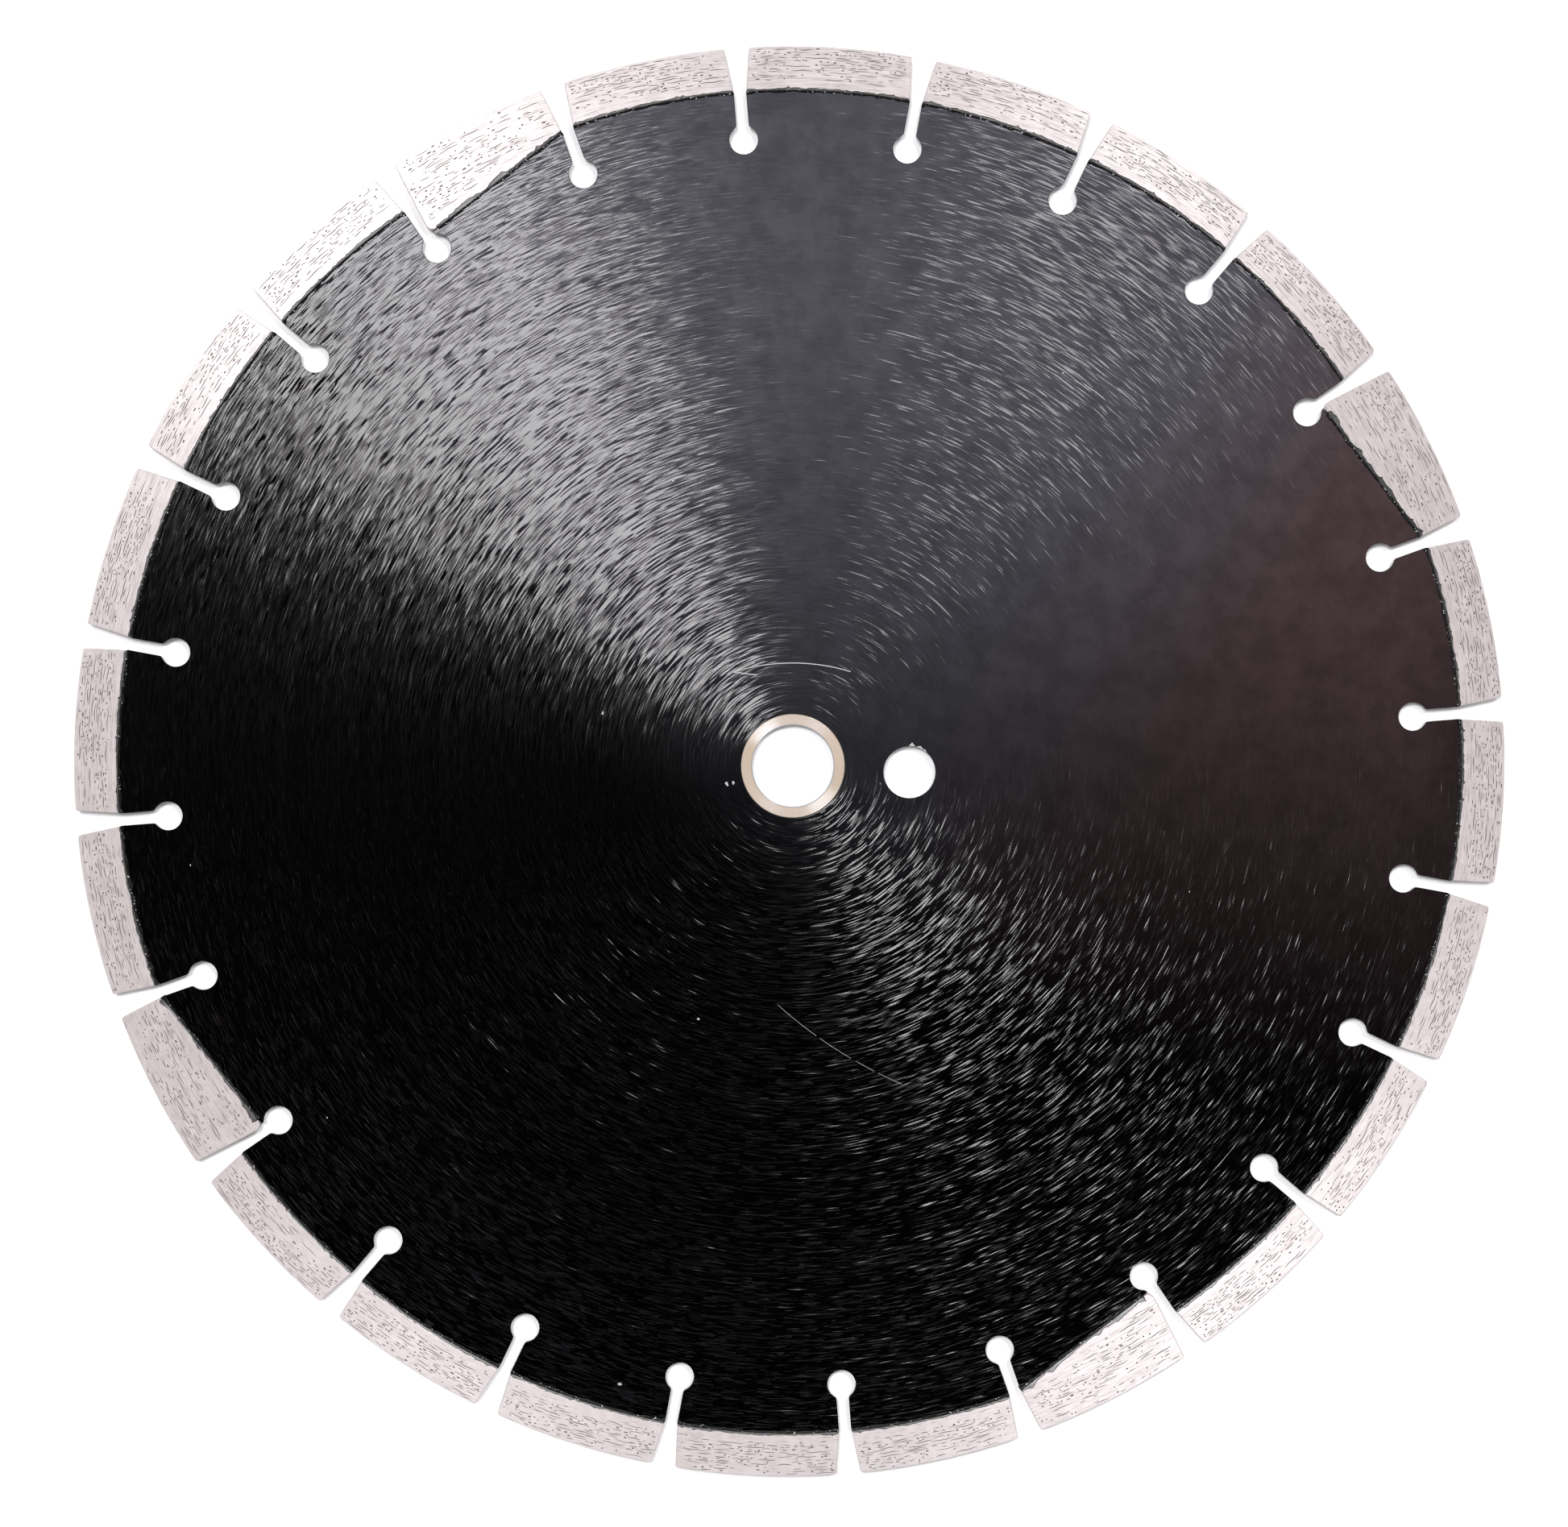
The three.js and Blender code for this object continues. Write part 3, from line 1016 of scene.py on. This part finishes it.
def matrix_colour(graph, lines):
    """The colour of the sintered matrix between its pits: lines, pale patches, scuffs and dark grain."""
    scuffs = graph.strokes(*SCUFF_MARKS, offset=30.0, detail=1.0)
    grain = graph.noise(graph.place, scale=7.0, detail=2.0)
    patches = graph.noise(graph.place, scale=0.35, detail=2.0)
    colour = graph.mix(lines, MATRIX_DARK, MATRIX_PALE)
    colour = graph.mix(graph.step(patches, 0.35, 0.75, 0.0, 0.35), colour, MATRIX_PATCH)
    colour = graph.mix(graph.step(scuffs, 0.6, 0.72, 0.0, 0.6), colour, SCUFF)
    return graph.mix(graph.step(grain, 0.6, 0.8, 0.0, 0.35), colour, GRAIN)


def sintered_metal():
    """Ground sintered metal: a pale matrix with lines, pits darkened by dirt and painted shade, crystals
    and a painted foot.
    """
    graph = Turned("sintered_metal")
    pit = graph.step(graph.attribute("pit"), *PIT_EDGE)
    crystal = graph.step(graph.attribute("crystal"), *CRYSTAL_EDGE)
    painted = graph.step(graph.attribute("painted"), *PAINT_EDGE)
    lines = graph.strokes(*GRINDING_LINES, detail=2.0)
    colour = graph.mix(crystal, matrix_colour(graph, lines), CRYSTAL)
    # The pits and groove bottoms darkened in colour, partly for dirt and partly as painted shade
    colour = graph.mix(pit, colour, PIT_DIRT_AND_SHADE)
    cover = graph.math("MAXIMUM", painted, pit)
    roughness = graph.blend(pit, graph.varied(lines, 0.39, 0.45), 0.8)
    graph.set(
        Base_Color=graph.mix(painted, colour, FOOT_PAINT),
        Metallic=graph.blend(cover, 0.15, 0.0),
        IOR=2.1,
        Roughness=graph.blend(painted, roughness, 0.45),
        Normal=graph.leaned(graph.spread(lines, GRINDING_LEAN)),
        Anisotropic=0.9,
        Tangent=graph.outward,
    )
    return graph.material


def yellow_zinc(bore):
    """Turned steel with a pale yellow zinc plating, and shade painted dark along the edge of the bore.
    """
    graph = Turned("yellow_zinc")
    rings = graph.strokes(*LATHE_RINGS, detail=2.0)
    mottle = graph.noise(graph.place, scale=1.6, detail=3.0)
    wear = graph.noise(graph.place, scale=5.0, detail=2.0)
    colour = graph.mix(mottle, ZINC_DARK, ZINC_PALE)
    colour = graph.mix(graph.step(wear, 0.62, 0.78, 0.0, 0.5), colour, ZINC_WORN)
    # Painted shade: the bore's edge and chamfer darkened in the colour
    bore_shade = graph.step(graph.radius, bore + BORE_SHADE_FROM, bore + BUSH_CHAMFER + BORE_SHADE_PAST, 0.85, 0.0)
    graph.set(
        Base_Color=graph.mix(bore_shade, colour, BORE_EDGE_SHADE),
        Metallic=0.15,
        IOR=2.35,
        Specular_Tint=(0.54, 0.77, 1.0, 1.0),
        Roughness=graph.varied(rings, 0.15, 0.17),
        Normal=graph.leaned(graph.spread(rings, TURNING_LEAN)),
        Anisotropic=1.0,
        Tangent=graph.outward,
    )
    return graph.material


def pale_floor():
    graph = Surface("pale_floor")
    place = graph.node("ShaderNodeTexCoord").outputs["Object"]
    tone = graph.noise(place, scale=3.0, detail=2.0)
    graph.set(Base_Color=graph.mix(tone, *FLOOR_TONES), Roughness=0.9, Specular_IOR_Level=0.0)
    return graph.material


# ---------------------------------------------------------------- stage, lights and camera

FLOOR_RADIUS = 8.0
FLOOR_CORNERS = 96
FLOOR_GAP = 0.02 * MM
# Name, azimuth and elevation in degrees, strength, angular size in degrees and colour
LIGHTS = (
    ("key_left", 129.5, 70, 2.6, 16, (1.0, 0.985, 1.0)),
    ("key_right", 54, 58.5, 1.7, 16, (1.0, 0.985, 1.0)),
)
LIGHT_DISTANCE = 3
DARK_SKY = grey(0.001)
PALE_SKY = (1.1, 1.1, 1.12, 1.0)
DIM_SKY = (0.62, 0.62, 0.64, 1.0)
SOFT_BOX = (2.2, 2.1, 2.55, 1.0)
WARM_SIDE = (2.15, 1.36, 1.42, 1.0)
# Edges in the sky, each as the direction's X, Y or Z where it starts and ends
DOME_EDGE = (0.76, 0.86)
BELT_TOP = (0.25, 0.6)
BELT_FOOT = (0.02, 0.16)
BOX_NEAR = (-0.095, 0.105)
BOX_FAR = (0.13, 0.17)
BOX_LEFT = (-0.05, 0.03)
BOX_RIGHT = (0.18, 0.22)
WARM_EDGE = (0.08, 0.16)
# How far those edges are slanted, as the share of the other direction
BOX_SLANT = 0.2
LEFT_SLANT = 0.8
WARM_SLANT = -0.7
CAMERA_PLACE = Vector((-0.0308, 0.0388, 0.9855))
CAMERA_AIM = Vector((-0.00215, 0.00057, 0.0))
CAMERA_LENS = 92.5


def floor():
    height = CAD_BOX[0][2] - FLOOR_GAP
    mesh = bpy.data.meshes.new("floor")
    corners = circle((0, 0), FLOOR_RADIUS, FLOOR_CORNERS)
    mesh.from_pydata([(x, y, height) for x, y in corners.tolist()], [], [list(range(FLOOR_CORNERS))])
    mesh.materials.append(pale_floor())
    made = bpy.data.objects.new("floor", mesh)
    bpy.context.scene.collection.objects.link(made)


def toward(azimuth, elevation):
    """Unit vector from the blade towards a place in the sky."""
    azimuth = math.radians(azimuth)
    elevation = math.radians(elevation)
    flat = math.cos(elevation)
    return Vector((flat * math.cos(azimuth), flat * math.sin(azimuth), math.sin(elevation)))


def lights():
    for name, azimuth, elevation, strength, size, colour in LIGHTS:
        light = bpy.data.lights.new(name, "SUN")
        light.energy = strength
        light.angle = math.radians(size)
        light.color = colour
        made = bpy.data.objects.new(name, light)
        direction = toward(azimuth, elevation)
        made.location = direction * LIGHT_DISTANCE
        made.rotation_euler = direction.to_track_quat("Z", "Y").to_euler()
        bpy.context.scene.collection.objects.link(made)


def sky():
    """A pale sky with a dimmer belt above its horizon. Over the blade its dome is dark, but for a soft
    box that fades towards the left and the near side, where the paint stays black."""
    world = bpy.data.worlds.new("studio")
    world.use_nodes = True
    graph = Graph(world.node_tree)
    place = graph.node("ShaderNodeTexCoord").outputs["Generated"]
    parts = graph.node("ShaderNodeSeparateXYZ", {"Vector": place}).outputs
    x, y, z = parts["X"], parts["Y"], parts["Z"]
    depth = graph.math("MULTIPLY_ADD", x, BOX_SLANT, y)
    near = graph.step(depth, *BOX_NEAR)
    far = graph.step(depth, *BOX_FAR, 1.0, 0.0)
    left = graph.step(graph.math("MULTIPLY_ADD", y, LEFT_SLANT, x), *BOX_LEFT)
    right = graph.step(x, *BOX_RIGHT, 1.0, 0.0)
    box = graph.math("MULTIPLY", graph.math("MULTIPLY", near, far), graph.math("MULTIPLY", left, right))
    warmth = graph.step(graph.math("MULTIPLY_ADD", y, WARM_SLANT, x), *WARM_EDGE)
    dome = graph.mix(box, DARK_SKY, graph.mix(warmth, SOFT_BOX, WARM_SIDE))
    belt = graph.math("MAXIMUM", graph.step(z, *BELT_TOP), graph.step(z, *BELT_FOOT, 1.0, 0.0))
    pale = graph.mix(belt, DIM_SKY, PALE_SKY)
    low = graph.step(z, *DOME_EDGE, 1.0, 0.0)
    graph.feed(graph.tree.nodes["Background"].inputs["Color"], graph.mix(low, dome, pale))
    bpy.context.scene.world = world


def camera():
    data = bpy.data.cameras.new("camera")
    data.lens = CAMERA_LENS
    data.sensor_width = 36
    data.sensor_fit = "HORIZONTAL"
    data.clip_start = 0.01
    data.clip_end = 50
    made = bpy.data.objects.new("camera", data)
    bpy.context.scene.collection.objects.link(made)
    forward = (CAMERA_AIM - CAMERA_PLACE).normalized()
    right = forward.cross(Vector((0, 1, 0))).normalized()
    up = right.cross(forward)
    turn = Matrix((right, up, -forward)).transposed().to_4x4()
    made.matrix_world = Matrix.Translation(CAMERA_PLACE) @ turn
    bpy.context.scene.camera = made


def build():
    steel_core()
    core_outline = softened(top_loops(CORE)[0])
    metal = sintered_metal()
    weld_lines = [segment(node, core_outline, metal) for node in SEGMENTS]
    weld_seams(weld_lines)
    reducing_bush()
    floor()
    lights()
    sky()
    camera()
    bpy.context.scene.view_settings.view_transform = "Standard"


build()
